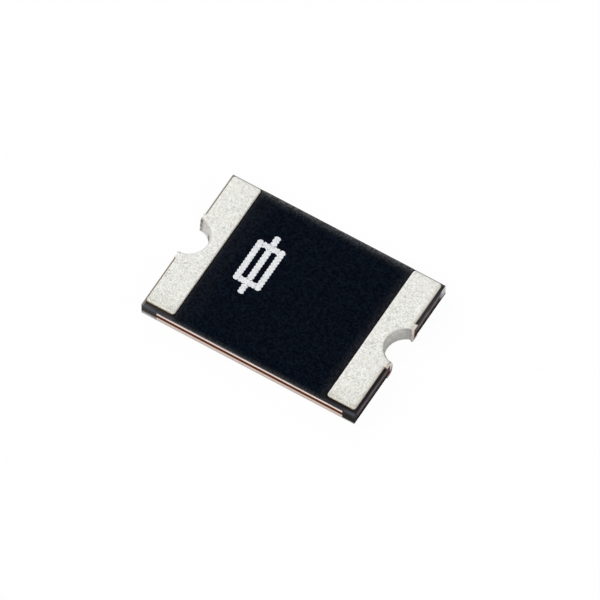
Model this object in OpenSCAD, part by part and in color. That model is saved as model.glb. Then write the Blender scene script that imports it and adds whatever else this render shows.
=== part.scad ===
// Resettable fuse chip for surface mounting: a sheet of conductive polymer between two
// electrode foils, laminated like a circuit board, with plated half-round terminals.
// X runs from the left terminal to the right one, Z is up, and the origin is under the
// middle of the chip, on the surface that the lower pads stand on. Sizes are millimetres.

/* [Chip outline] */
// Length between the two sawn ends, along X
chip_length = 4.55; // [4.2:0.01:5.0]
// Width between the two sawn sides, along Y
chip_width = 3.235; // [2.9:0.005:3.6]

/* [Laminate] */
// Thickness of the conductive polymer sheet
polymer_thickness = 0.0775; // [0.05:0.0025:0.4]
// Thickness of each electrode foil
foil_thickness = 0.06; // [0.02:0.005:0.1]
// Thickness of the insulation over each electrode foil
cover_thickness = 0.045; // [0.03:0.005:0.15]
// Thickness of the printed solder mask
mask_thickness = 0.018; // [0.01:0.001:0.03]

/* [Electrode foils] */
// How far the end of a foil runs past the wall of the barrel that it joins
foil_overlap = 0.1; // [0.04:0.01:0.2]
// Ring etched out of a foil around the barrel that it must not touch
barrel_clearance = 0.16; // [0.1:0.01:0.3]

/* [Pads] */
// Length of a pad, along X
pad_length = 0.576; // [0.5:0.002:0.8]
// Bare margin between a pad and the sawn end
pad_end_margin = 0.0555; // [0.03:0.0005:0.1]
// Bare margin between a pad and each sawn side
pad_side_margin = 0.075; // [0.06:0.001:0.15]
// Radius of the corners of a pad
pad_corner_radius = 0.045; // [0.03:0.005:0.2]
// Width of the pad's ring around the drilled hole
ring_width = 0.094; // [0.08:0.002:0.15]
// Thickness of the outer copper foil that a pad is etched from
pad_foil_thickness = 0.012; // [0.008:0.001:0.035]
// Gap between the solder mask and a plated pad
mask_gap = 0.02; // [0.01:0.005:0.1]

/* [Plated holes] */
// Radius of the finished half-round notch
notch_radius = 0.4; // [0.3:0.01:0.5]
// Width of the saw cut that halves each drilled hole
saw_kerf = 0.104; // [0.02:0.002:0.2]
// Thickness of the plated copper
copper_thickness = 0.032; // [0.015:0.001:0.04]
// Thickness of the plated tin
tin_thickness = 0.012; // [0.005:0.001:0.015]
// Radius of the rounded shoulder where the plating turns from a pad into the notch
shoulder_radius = 0.05; // [0.03:0.002:0.06]

/* [Registration] */
// Shift of the etched pads from the middle of the sawn outline, towards the left end
pad_shift_left = 0.0095; // [0:0.0005:0.03]
// Shift of the etched pads from the middle of the sawn outline, along Y
pad_shift_y = 0.036; // [-0.04:0.001:0.04]
// Shift of the drilled holes and electrode foils from the middle, along X
drill_shift_x = 0.034; // [-0.05:0.001:0.05]
// Shift of the drilled holes and electrode foils from the middle, along Y
drill_shift_y = 0.08; // [-0.15:0.005:0.15]

/* [Hidden] */
$fn = 96;
LEFT = -1;
RIGHT = 1;

// Radii about the middle of a drilled hole
copper_radius = notch_radius + tin_thickness;
drill_radius = copper_radius + copper_thickness;
ring_radius = drill_radius + ring_width;
mouth_radius = notch_radius + shoulder_radius;
collar_radius = drill_radius + ring_width / 2;

// Places of the hole centres and foil ends from the middle of the inner layers, along X
hole_x = (chip_length + saw_kerf) / 2;
foil_length = 2 * (hole_x - drill_radius + foil_overlap);

// Size and place of the etched pads
pad_width = chip_width - 2 * pad_side_margin;
pad_x = (chip_length - pad_length) / 2 - pad_end_margin;

// Heights from the lower pads' faces to the upper pads' faces
pad_rise = pad_foil_thickness + copper_thickness + tin_thickness;
lower_face_z = pad_rise;
lower_foil_z = lower_face_z + cover_thickness;
polymer_z = lower_foil_z + foil_thickness;
upper_foil_z = polymer_z + polymer_thickness;
upper_cover_z = upper_foil_z + foil_thickness;
upper_face_z = upper_cover_z + cover_thickness;
chip_height = upper_face_z + pad_rise;

tin_colour = "#e6e5de";
copper_colour = "#dcab97";
polymer_colour = "#241a17";
insulation_colour = "#33343c";
mask_colour = "#070b14";

// Innermost X of a plated pad, at its straight inner edge or at its ring
function plated_inner_x(side) =
  let (edge = pad_x - pad_length / 2 - side * pad_shift_left)
  let (ring = hole_x - ring_radius + side * drill_shift_x)
  side * (min(edge, ring) - tin_thickness);

// Slab of a flat outline between two heights
module slab(bottom, top) {
  translate([0, 0, bottom]) linear_extrude(top - bottom) children();
}

// Rectangle that the saw leaves
module sawn_outline() {
  square([chip_length, chip_width], center = true);
}

// Moves a shape to the middle of one drilled hole
module at_hole(side) {
  translate([side * hole_x + drill_shift_x, drill_shift_y]) children();
}

// Sawn rectangle with a half-round bite drilled out of each end
module drilled_outline() {
  difference() {
    sawn_outline();
    at_hole(LEFT) circle(drill_radius);
    at_hole(RIGHT) circle(drill_radius);
  }
}

// Electrode foil that runs up to the barrel on one side and stays clear of the other
module electrode_outline(joined_side) {
  difference() {
    translate([drill_shift_x, 0]) square([foil_length, chip_width], center = true);
    at_hole(joined_side) circle(drill_radius);
    at_hole(-joined_side) circle(drill_radius + barrel_clearance);
  }
}

module rounded_rectangle(length, width, radius) {
  square([length - 2 * radius, width], center = true);
  square([length, width - 2 * radius], center = true);
  for (x = [-1, 1], y = [-1, 1])
    translate([x * (length / 2 - radius), y * (width / 2 - radius)]) circle(radius);
}

// Etched pad with the ring that carries it to the sawn end, grown by a coat on its sides
module pad_outline(side, coat) {
  intersection() {
    sawn_outline();
    union() {
      translate([side * pad_x - pad_shift_left, pad_shift_y])
        rounded_rectangle(pad_length + 2 * coat, pad_width + 2 * coat, pad_corner_radius + coat);
      at_hole(side) circle(ring_radius + coat);
    }
  }
}

// Pad without the mouth of its notch, which laps the flat of the revolved collar
module pad_round_mouth(side, coat) {
  difference() {
    pad_outline(side, coat);
    at_hole(side) circle(mouth_radius);
  }
}

// Half section through a plated hole, of all that lies under a coat of the given depth
module collar_section(depth, outer_radius) {
  inner = notch_radius + depth;
  corner = shoulder_radius - depth;
  translate([mouth_radius, depth]) square([outer_radius - mouth_radius, chip_height - 2 * depth]);
  translate([inner, shoulder_radius]) square([outer_radius - inner, chip_height - 2 * shoulder_radius]);
  for (z = [shoulder_radius, chip_height - shoulder_radius])
    translate([mouth_radius, z]) circle(corner);
}

// Revolves a half section about a hole and lets the saw cut it off at the chip's end
module collar(side) {
  intersection() {
    at_hole(side) rotate_extrude() children();
    slab(0, chip_height) sawn_outline();
  }
}

// Copper foil under one pad, drilled through
module pad_foil(side, bottom) {
  color(copper_colour) slab(bottom, bottom + pad_foil_thickness) difference() {
    pad_outline(side, 0);
    at_hole(side) circle(drill_radius);
  }
}

// Plated copper over both pads of one end and down the drilled hole
module copper_plating(side) {
  color(copper_colour) {
    slab(tin_thickness, tin_thickness + copper_thickness) pad_round_mouth(side, 0);
    slab(upper_face_z + pad_foil_thickness, chip_height - tin_thickness) pad_round_mouth(side, 0);
    collar(side) difference() {
      collar_section(tin_thickness, collar_radius);
      translate([drill_radius, tin_thickness + copper_thickness])
        square([ring_radius, chip_height - 2 * (tin_thickness + copper_thickness)]);
    }
  }
}

// Plated tin over the copper of one end, with a skirt down the sides of both pads
module tin_plating(side) {
  color(tin_colour) {
    slab(0, tin_thickness) pad_round_mouth(side, tin_thickness);
    slab(chip_height - tin_thickness, chip_height) pad_round_mouth(side, tin_thickness);
    for (bottom = [0, upper_face_z])
      slab(bottom, bottom + pad_rise) difference() {
        pad_outline(side, tin_thickness);
        pad_outline(side, 0);
      }
    collar(side) difference() {
      collar_section(0, collar_radius);
      collar_section(tin_thickness, ring_radius);
    }
  }
}

// Outline of the mask printed between the two plated pads, from side to side
module mask_outline() {
  left_x = plated_inner_x(LEFT) + mask_gap;
  right_x = plated_inner_x(RIGHT) - mask_gap;
  translate([left_x, -chip_width / 2]) square([right_x - left_x, chip_width]);
}

// Carbon-filled polymer between the electrodes, drilled with the rest of the board
module ptc_polymer_sheet() {
  color(polymer_colour) slab(polymer_z, upper_foil_z) drilled_outline();
}

// Upper electrode, joined to the left terminal
module upper_electrode_foil() {
  color(copper_colour) slab(upper_foil_z, upper_cover_z) electrode_outline(LEFT);
}

// Lower electrode, joined to the right terminal
module lower_electrode_foil() {
  color(copper_colour) slab(lower_foil_z, polymer_z) electrode_outline(RIGHT);
}

// Glass and resin over the upper electrode, which also fills where the foil is etched away
module upper_insulating_layer() {
  color(insulation_colour) {
    slab(upper_cover_z, upper_face_z) drilled_outline();
    slab(upper_foil_z, upper_cover_z) difference() {
      drilled_outline();
      electrode_outline(LEFT);
    }
  }
}

// Glass and resin under the lower electrode
module lower_insulating_layer() {
  color(insulation_colour) {
    slab(lower_face_z, lower_foil_z) drilled_outline();
    slab(lower_foil_z, polymer_z) difference() {
      drilled_outline();
      electrode_outline(RIGHT);
    }
  }
}

module upper_solder_mask() {
  color(mask_colour) slab(upper_face_z, upper_face_z + mask_thickness) mask_outline();
}

module lower_solder_mask() {
  color(mask_colour) slab(lower_face_z - mask_thickness, lower_face_z) mask_outline();
}

ptc_polymer_sheet();
upper_electrode_foil();
lower_electrode_foil();
upper_insulating_layer();
lower_insulating_layer();
upper_solder_mask();
lower_solder_mask();
pad_foil(LEFT, upper_face_z);  // left_upper_pad_foil
pad_foil(LEFT, lower_face_z - pad_foil_thickness);  // left_lower_pad_foil
pad_foil(RIGHT, upper_face_z);  // right_upper_pad_foil
pad_foil(RIGHT, lower_face_z - pad_foil_thickness);  // right_lower_pad_foil
copper_plating(LEFT);  // left_copper_plating
copper_plating(RIGHT);  // right_copper_plating
tin_plating(LEFT);  // left_tin_plating
tin_plating(RIGHT);  // right_tin_plating
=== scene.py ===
"""Looks of a surface-mount resettable fuse chip: terminals, solder mask, ink mark, laminate and stage."""

import math

import bpy
import numpy as np
from bpy.props import FloatProperty, FloatVectorProperty, PointerProperty
from mathutils import Matrix, Vector


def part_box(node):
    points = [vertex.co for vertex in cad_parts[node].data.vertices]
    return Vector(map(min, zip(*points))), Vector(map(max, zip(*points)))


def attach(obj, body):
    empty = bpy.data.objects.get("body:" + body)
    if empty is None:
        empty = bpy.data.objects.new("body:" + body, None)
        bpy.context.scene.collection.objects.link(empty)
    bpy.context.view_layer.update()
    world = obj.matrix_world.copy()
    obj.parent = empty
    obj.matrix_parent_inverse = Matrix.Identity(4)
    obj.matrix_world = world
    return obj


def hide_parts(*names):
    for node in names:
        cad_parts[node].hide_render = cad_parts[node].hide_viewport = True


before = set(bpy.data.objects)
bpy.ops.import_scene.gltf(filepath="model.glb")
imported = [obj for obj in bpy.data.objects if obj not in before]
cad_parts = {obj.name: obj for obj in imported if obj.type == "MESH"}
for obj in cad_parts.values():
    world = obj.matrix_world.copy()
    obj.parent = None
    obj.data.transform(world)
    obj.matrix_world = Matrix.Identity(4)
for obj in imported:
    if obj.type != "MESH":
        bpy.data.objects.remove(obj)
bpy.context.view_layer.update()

bl_info = {
    "name": "Resettable Fuse Chip",
    "version": (1, 0, 0),
    "blender": (4, 5, 0),
    "location": "View3D > Sidebar > Fuse",
    "description": "Dresses a surface-mount resettable fuse chip",
    "category": "Object",
}

# All lengths below are metres, as in the frame.
MM = 0.001
LEFT = -1
RIGHT = 1
SIDE_NAMES = {LEFT: "left", RIGHT: "right"}

# Points this close are one, faces that meet at more than this angle meet at a sharp edge, and
# stations crowd towards an edge by this power.
WELD = 1e-6 * MM
SHARP = math.radians(40)
CROWDING = 1.5

# Heights and outline of the laminate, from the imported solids
LAMINATE_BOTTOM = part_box("lower_insulating_layer")[0].z
LAMINATE_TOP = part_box("upper_insulating_layer")[1].z
HALF_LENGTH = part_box("ptc_polymer_sheet")[1].x
HALF_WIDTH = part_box("ptc_polymer_sheet")[1].y
CHIP_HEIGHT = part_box("left_tin_plating")[1].z
COPPER_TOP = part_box("left_copper_plating")[1].z
PAD_FOIL_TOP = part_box("left_upper_pad_foil")[1].z
TIN_THICKNESS = CHIP_HEIGHT - COPPER_TOP
COPPER_THICKNESS = COPPER_TOP - PAD_FOIL_TOP


def linear(hex_colour):
    """Linear red, green and blue of an sRGB hex colour."""
    channels = [int(hex_colour[i:i + 2], 16) / 255 for i in (1, 3, 5)]
    return tuple(c / 12.92 if c <= 0.04045 else ((c + 0.055) / 1.055) ** 2.4 for c in channels)


def length(name, default, description):
    """A length in metres that a user may change."""
    return FloatProperty(
        name=name, default=default, description=description, min=0.0, unit="LENGTH", precision=6
    )


def shift(name, default, description):
    """A signed distance in metres that a user may change."""
    return FloatProperty(name=name, default=default, description=description, unit="LENGTH", precision=6)


def angle(name, default, description):
    """An angle that a user may change, given here in degrees."""
    return FloatProperty(name=name, default=math.radians(default), description=description, subtype="ANGLE")


def colour(name, hex_colour, description):
    """A colour that a user may change, given here as sRGB hex."""
    return FloatVectorProperty(
        name=name, default=linear(hex_colour), description=description, subtype="COLOR", size=3,
        min=0.0, max=1.0,
    )


class FuseTerminalSettings(bpy.types.PropertyGroup):
    """Sizes and colours of the two plated terminals."""

    pad_length: length("Pad length", 0.6 * MM, "Length of a plated pad along the chip")
    corner_radius: length("Corner radius", 0.057 * MM, "Radius of a plated pad's corners seen from above")
    edge_run: length("Edge run", 0.034 * MM, "Width of the rounding along a plated pad's upper edge")
    edge_drop: length("Edge drop", 0.027 * MM, "Height of the rounding along a plated pad's upper edge")
    crown: length("Crown", 0.0015 * MM, "Height of a pad's middle over its edges")
    crown_reach: length("Crown reach", 0.05 * MM, "Width over which a pad falls off to its edges")
    notch_radius: length("Notch radius", 0.4 * MM, "Radius of the finished half-round notch")
    shoulder_radius: length("Shoulder radius", 0.05 * MM, "Rounding where a pad turns into the notch")
    ring_radius: length("Ring radius", 0.55 * MM, "Radius of the plated ring round the notch")
    hole_x: length("Hole distance", 2.327 * MM, "Distance of the drilled holes from their common middle")
    hole_shift_x: shift("Hole shift along", 0.034 * MM, "Shift of both drilled holes along the chip")
    hole_shift_y: shift("Hole shift across", 0.08 * MM, "Shift of both drilled holes across the chip")
    left_lean: length("Left lean", 0.045 * MM, "How much narrower the left notch is at its foot")
    left_burr: length("Left burr", 0.01 * MM, "Height of the burr that the saw leaves in the left notch")
    right_burr: length("Right burr", 0.055 * MM, "Height of the burr that the saw leaves in the right notch")
    burr_reach: length("Burr reach", 0.04 * MM, "Width of the burr along the notch's wall")
    tin: colour("Tin", "#FAF9EF", "Colour of the plated tin")
    # Notch walls carry painted light and shade: the left one lighter, as lit from the left, the right one
    # darker
    lit_left_wall: colour("Left wall", "#DEDCDA", "Colour of the thinner tin on the left notch's wall")
    shaded_right_wall: colour("Right wall", "#CDCBC6", "Colour of the thinner tin on the right notch's wall")
    end_stain: colour("End stain", "#E7E6E0", "Tint that lies over the tin at the pads' near ends")
    # Partly the tin's cream tone and partly painted shade and reflection on its rounded edges
    edge: colour("Edge", "#CFC2B0", "Colour of the tin along a pad's rounded edges")
    smear: colour("Smear", "#BBBCB3", "Colour of tin cut by the saw")
    near_smear: colour("Near smear", "#B5AAAC", "Colour of plating cut by the saw on a notch's near side")
    pale_smear: colour("Pale smear", "#E6DEC9", "Colour of plating cut by the saw at a notch's upper rim")
    deep_smear: colour("Deep smear", "#512F2C", "Colour of plating that the saw has dragged down")
    stain: colour("Stain", "#6E5C48", "Colour of the bare spots in the notch")
    # The flanks' dark colour is painted shade; the laminate beside the pads takes it as a painted shadow
    flank: colour("Flank", "#3B332C", "Colour of the etched flanks of the pads")


class FuseMaskSettings(bpy.types.PropertyGroup):
    """Sizes and colours of the printed solder mask and the ink mark."""

    feather: length("Feather", 0.004 * MM, "Rounding of the print's edges at the sawn sides")
    end_feather: length("End feather", 0.002 * MM, "Rounding of the print's edges beside the pads")
    near_droop: length("Near droop", 0.0152 * MM, "Drop of the print at the near sawn side")
    far_droop: length("Far droop", 0.002 * MM, "Drop of the print at the far sawn side")
    droop_reach: length("Droop reach", 0.29 * MM, "Width over which the print drops at the sawn sides")
    mask: colour("Mask", "#0A141F", "Colour of the solder mask's paler flecks")
    deep_mask: colour("Deep mask", "#00020C", "Colour of the solder mask's darker flecks")
    # Also the colour of the painted sheen beside the right pad
    thin_mask_and_sheen: colour("Thin mask", "#292A2C", "Colour of the solder mask where it thins out")
    # Painted sheen along the far sawn side
    painted_far_sheen: colour("Worn mask", "#5B5C5D", "Colour of the solder mask along its far sawn side")
    ink: colour("Ink", "#DFE1E3", "Colour of the ink mark")
    mark_x: shift("Mark place along", -0.86 * MM, "Middle of the ink mark along the chip")
    mark_y: shift("Mark place across", 0.205 * MM, "Middle of the ink mark across the chip")
    mark_length: length("Mark length", 1.39 * MM, "Length of the ink mark across the chip")
    box_length: length("Mark box length", 0.84 * MM, "Length of the mark's box")
    box_width: length("Mark box width", 0.46 * MM, "Width of the mark's box")
    stroke: length("Stroke", 0.13 * MM, "Width of the mark's strokes")
    dot_radius: length("Dot radius", 0.042 * MM, "Radius of the dots that the ink is laid in")
    dot_pitch: length("Dot pitch", 0.072 * MM, "Distance between the dots that the ink is laid in")
    ink_thickness: length("Ink thickness", 0.006 * MM, "Thickness of the ink")


class FuseLaminateSettings(bpy.types.PropertyGroup):
    """Colours of the laminate's layers."""

    insulation: colour("Insulation", "#3E3F45", "Colour of the glass and resin layers from above")
    bared_edge: colour("Bared edge", "#857E76", "Colour of glass bared along the left end")
    pale_side: colour("Pale side", "#B2B2B1", "Colour of the lower layer at the long sides' corners")
    sawn_side: colour("Sawn side", "#3A3938", "Colour of the glass and resin on the long sides")
    cover: colour("Cover", "#0D1016", "Colour of the resin between the pads and the solder mask")
    # Used for the pale streaks at the far corner of the sawn ends
    fibre: colour("Fibre", "#E0DEDD", "Colour of frayed glass")
    polymer: colour("Polymer", "#4E3326", "Colour of the conductive polymer sheet")
    copper: colour("Copper", "#F9E6DC", "Colour of the sawn copper foils")
    old_copper: colour("Old copper", "#B4765A", "Colour of the foils' edges beside the polymer")
    plated_copper: colour("Plated copper", "#8A5F56", "Colour of the sawn copper plating")


class FuseStageSettings(bpy.types.PropertyGroup):
    """Camera, floor and light."""

    azimuth: angle("Azimuth", 30.504, "Camera's turn round the chip")
    elevation: angle("Elevation", 59.557, "Camera's height over the horizon")
    roll: angle("Roll", 0.768, "Camera's roll about its view")
    distance: length("Distance", 443.8 * MM, "Camera's distance from the chip")
    view_width: length("View width", 10.987 * MM, "Width that the picture covers at the chip")
    aim_right: shift("Aim right", 0.12 * MM, "Picture's middle to the right of the laminate's base")
    aim_up: shift("Aim up", 0.055 * MM, "Picture's middle above the laminate's base")
    floor: colour("Floor", "#F2F2F2", "Colour of the floor")
    floor_size: length("Floor size", 0.8, "Side of the square floor")
    horizon: colour("Horizon", "#FFFFFF", "Colour of the surroundings at eye level")
    zenith: colour("Zenith", "#17191D", "Colour of the surroundings overhead")
    floor_glow: FloatProperty(
        name="Floor glow", default=0.95, min=0.0, max=1.0, subtype="FACTOR",
        description="Share of the floor's white that is its own",
    )


class FuseChipSettings(bpy.types.PropertyGroup):
    """All settings of the chip."""

    terminals: PointerProperty(type=FuseTerminalSettings, name="Terminals", description="Plated terminals")
    mask: PointerProperty(type=FuseMaskSettings, name="Mask", description="Solder mask and ink mark")
    laminate: PointerProperty(type=FuseLaminateSettings, name="Laminate", description="Laminate layers")
    stage: PointerProperty(type=FuseStageSettings, name="Stage", description="Camera, floor and light")


def settings():
    """The scene's groups of settings."""
    return bpy.context.scene.fuse_chip


# Meshes


def welded(points, quads):
    """Takes points within a nanometre of each other as one.

    Gives the first point of each such group, the quads that still have four corners, and the
    triangles that are left of quads with one side of no length. Quads without area are dropped.
    """
    _, first, group = np.unique(np.round(points / WELD), axis=0, return_index=True, return_inverse=True)
    quads = group.reshape(-1)[quads]
    moved_on = quads != np.roll(quads, 1, axis=1)
    unfolded = (quads[:, 0] != quads[:, 2]) & (quads[:, 1] != quads[:, 3])
    three = moved_on.sum(1) == 3
    triangles = quads[three][moved_on[three]].reshape(-1, 3)
    return first, quads[moved_on.all(1) & unfolded], triangles


def closed_shell(outer, inner, **attributes):
    """Closed shell between two grids of points with the same rows and columns.

    Each grid is a skin: the outer one, and the inner one turned round. A strip of quads joins
    their rims. Attributes are grids of one number per outer point, which the inner points share.
    Gives the shell's points, its quads and triangles, and its attributes.
    """
    rows, columns = outer.shape[:2]
    count = rows * columns
    points = np.concatenate([outer.reshape(-1, 3), inner.reshape(-1, 3)])
    index = np.arange(count).reshape(rows, columns)
    skin = np.stack([index[:-1, :-1], index[1:, :-1], index[1:, 1:], index[:-1, 1:]], -1).reshape(-1, 4)
    rim = np.concatenate([index[0, :-1], index[:-1, -1], index[-1, :0:-1], index[:0:-1, 0]])
    after = np.roll(rim, -1)
    strip = np.stack([rim, after, after + count, rim + count], -1)
    quads = np.concatenate([skin, skin[:, ::-1] + count, strip])
    corner = points[quads]
    volume = np.einsum("ij,ij->", corner[:, 0], np.cross(corner[:, 1], corner[:, 2]))
    volume += np.einsum("ij,ij->", corner[:, 0], np.cross(corner[:, 2], corner[:, 3]))
    if volume < 0:
        quads = quads[:, ::-1]
    first, quads, triangles = welded(points, quads)
    shared = {key: np.tile(values.ravel(), 2)[first] for key, values in attributes.items()}
    return points[first], (quads, triangles), shared


def shell_mesh(name, *shells):
    """One mesh of closed shells that lie apart, with the attributes that they share."""
    points, faces, attributes = zip(*shells)
    starts = np.cumsum([0, *map(len, points)])
    corners = [(part + start).tolist() for parts, start in zip(faces, starts) for part in parts]
    mesh = bpy.data.meshes.new(name)
    mesh.from_pydata(np.concatenate(points).tolist(), [], sum(corners, []))
    for key in attributes[0]:
        values = np.concatenate([shared[key] for shared in attributes])
        mesh.attributes.new(key, "FLOAT", "POINT").data.foreach_set("value", values.astype(np.float32))
    mesh.shade_smooth()
    mesh.set_sharp_from_angle(angle=SHARP)
    mesh.update()
    return mesh


def place(name, mesh, material, slot, *nodes):
    """Puts a finished mesh on the chip in place of the solids that it stands for."""
    piece = bpy.data.objects.new(name, mesh)
    bpy.context.scene.collection.objects.link(piece)
    mesh.materials.append(material)
    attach(piece, "root")
    if nodes:
        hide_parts(*nodes)
    return piece


def straight(start, end, normal, count):
    """Points from start to end with one inward normal."""
    share = np.linspace(0, 1, count)[:, None]
    points = (1 - share) * np.array(start) + share * np.array(end)
    return points, np.broadcast_to(np.array(normal, float), points.shape)


def turned(centre, radius, first, last, count, inward=-1):
    """Points on an arc about a centre, with normals towards it, or away from it if inward is 1."""
    turn = np.radians(np.linspace(first, last, count))
    ray = np.stack([np.cos(turn), np.sin(turn)], -1)
    return np.array(centre) + radius * ray, inward * ray


class TerminalPlan:
    """Plan of one terminal with its sawn end towards +X: the pad's rim, and the notch it runs round to."""

    # Stations on each part of the rim: the ring's ends, where ring and pad join, the sawn edge on
    # either side, the corners, the two ends across the chip, and the edge towards the mask
    RING_STEPS = 7
    FAN_STEPS = 6
    SAWN_STEPS = 40
    CORNER_STEPS = 12
    END_STEPS = 24
    INNER_STEPS = 130

    # Share of the way round to the middle of the inner edge, as seen from the hole, at which the
    # sawn edge, its corner, the end across the chip, the inner corner and the inner edge begin
    FACING = (0.0, 0.2, 0.25, 0.5, 0.55)

    def __init__(self, side, sizes):
        low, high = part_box(f"{SIDE_NAMES[side]}_tin_plating")
        self.sizes = sizes
        self.hole = np.array([sizes.hole_x + side * sizes.hole_shift_x, sizes.hole_shift_y])
        self.inner_x = low.x if side == RIGHT else -high.x
        self.outer_x = self.inner_x + sizes.pad_length
        self.near_y = low.y
        self.far_y = high.y
        self.join = math.degrees(math.acos((self.outer_x - self.hole[0]) / sizes.ring_radius))
        self.rim, self.normals, self.arc_share = self.pad_rim()

    def end_angle(self, radius):
        """Angle at which a circle round the hole meets the sawn end."""
        return np.arccos((HALF_LENGTH - self.hole[0]) / radius)

    def pad_rim(self):
        """Rim of the pad from ring to ring, its inward normals, and the share of the notch's arc it faces."""
        sizes = self.sizes
        corner = sizes.corner_radius
        x_low, x_high = self.inner_x + corner, self.outer_x - corner
        y_low, y_high = self.near_y + corner, self.far_y - corner
        reach = sizes.ring_radius * math.sin(math.radians(self.join))
        far_join = (self.outer_x, self.hole[1] + reach)
        near_join = (self.outer_x, self.hole[1] - reach)
        runs = [
            turned(far_join, 0.0, self.join + 180, 180, self.FAN_STEPS, inward=1),
            straight(far_join, (self.outer_x, y_high), (-1, 0), self.SAWN_STEPS),
            turned((x_high, y_high), corner, 0, 90, self.CORNER_STEPS),
            straight((x_high, self.far_y), (x_low, self.far_y), (0, -1), self.END_STEPS),
            turned((x_low, y_high), corner, 90, 180, self.CORNER_STEPS),
            straight((self.inner_x, y_high), (self.inner_x, y_low), (1, 0), self.INNER_STEPS),
            turned((x_low, y_low), corner, 180, 270, self.CORNER_STEPS),
            straight((x_low, self.near_y), (x_high, self.near_y), (0, 1), self.END_STEPS),
            turned((x_high, y_low), corner, 270, 360, self.CORNER_STEPS),
            straight((self.outer_x, y_low), near_join, (-1, 0), self.SAWN_STEPS),
            turned(near_join, 0.0, 180, 180 - self.join, self.FAN_STEPS, inward=1),
        ]
        # Angles about the hole between which each run of the rim faces it
        shoulder = sizes.notch_radius + sizes.shoulder_radius
        clear = math.degrees(math.acos((self.outer_x - sizes.edge_run - self.hole[0]) / shoulder))
        half = [self.join, *(clear + part * (180 - clear) for part in self.FACING)]
        bounds = half + [360 - turn for turn in reversed(half)]
        facing = np.concatenate(
            [np.linspace(a, b, len(points)) for (points, _), a, b in zip(runs, bounds, bounds[1:])]
        )
        first = math.degrees(self.end_angle(shoulder))
        share = (facing - first) / (360 - 2 * first)
        return np.concatenate([p for p, _ in runs]), np.concatenate([n for _, n in runs]), share

    def shares(self):
        """Share of the notch's arc at every station along the rim, ring to ring."""
        lead = np.linspace(0, self.arc_share[0], self.RING_STEPS)[:-1]
        return np.concatenate([lead, self.arc_share, 1 - lead[::-1]])

    def ring_end(self, inset, sign):
        """Stations on the ring from the sawn end to the pad, at each inset from the rim."""
        radius = self.sizes.ring_radius - inset
        share = np.linspace(0, 1, self.RING_STEPS)[:-1, None]
        turn = (1 - share) * self.end_angle(radius) + share * math.radians(self.join)
        return self.hole + radius[:, None] * np.stack([np.cos(turn), sign * np.sin(turn)], -1)

    def edge(self, inset):
        """Points at each inset from the rim, at every station."""
        pad = self.rim[:, None, :] + self.normals[:, None, :] * inset[None, :, None]
        return np.concatenate([self.ring_end(inset, 1), pad, self.ring_end(inset, -1)[::-1]])

    def round_hole(self, radius):
        """Points at each radius about the hole, at every station."""
        first = self.end_angle(radius)
        turn = first + self.shares()[:, None] * (2 * math.pi - 2 * first)
        return self.hole + radius[:, None] * np.stack([np.cos(turn), np.sin(turn)], -1)

    def crown(self, points):
        """Drop of the pad's face at each point: crown * exp(-distance / reach), summed over the edges."""
        x, y = points[..., 0], points[..., 1]
        from_ring = self.sizes.ring_radius - np.hypot(x - self.hole[0], y - self.hole[1])
        outside = np.maximum(self.outer_x - x, from_ring)
        distances = (x - self.inner_x, outside, y - self.near_y, self.far_y - y)
        return self.sizes.crown * sum(np.exp(-d.clip(0) / self.sizes.crown_reach) for d in distances)


# Points of a terminal's section on each rounding, each pad and half of the wall
TURN_STEPS = 12
FLAT_STEPS = 32
WALL_STEPS = 9

# Ripple of the burr on a notch's far side: its mean, swing, length by height, and start
RIPPLE_MEAN = 0.68
RIPPLE_SWING = 0.22
RIPPLE_LENGTH = 0.17 * MM
RIPPLE_START = 0.8


def terminal_section(sizes, depth, foot):
    """Section of a terminal's skin at a depth under its surface, from its upper foot to its lower one.

    Columns are the inset from the pad's rim, the radius about the hole, the share of the way from
    rim to hole, and the height. The pad's edge is a quarter ellipse, the shoulder is a quarter
    circle, and the lower half mirrors the upper one.
    """
    run, drop, shoulder = sizes.edge_run, sizes.edge_drop, sizes.shoulder_radius
    turn = np.linspace(0, math.pi / 2, TURN_STEPS)
    still, level, upright = np.ones(TURN_STEPS), np.ones(FLAT_STEPS), np.ones(WALL_STEPS)
    outer = sizes.notch_radius + shoulder
    side = min(depth, TIN_THICKNESS)
    top = CHIP_HEIGHT - depth
    lip = np.stack([
        side + max(run - depth, 0.0) * (1 - np.cos(turn)),
        outer * still,
        0 * still,
        np.minimum(CHIP_HEIGHT - drop + (drop - depth) * np.sin(turn), top),
    ], -1)
    edge = lip[-1, 0]
    skirt = [[side, outer, 0, foot], [side, outer, 0, (foot + lip[0, 3]) / 2]]
    across = np.linspace(0, 1, FLAT_STEPS + 2)[1:-1] ** CROWDING
    flat = np.stack([edge * level, outer * level, across, top * level], -1)
    roll = np.stack([
        edge * still,
        outer - (shoulder - depth) * np.sin(turn),
        still,
        CHIP_HEIGHT - shoulder + (shoulder - depth) * np.cos(turn),
    ], -1)
    fall = np.linspace(CHIP_HEIGHT - shoulder, CHIP_HEIGHT / 2, WALL_STEPS + 1)[1:]
    wall = np.stack([edge * upright, (sizes.notch_radius + depth) * upright, upright, fall], -1)
    upper = np.concatenate([skirt, lip, flat, roll, wall])
    lower = upper[-2::-1].copy()
    lower[:, 3] = CHIP_HEIGHT - lower[:, 3]
    return np.concatenate([upper, lower])


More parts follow.
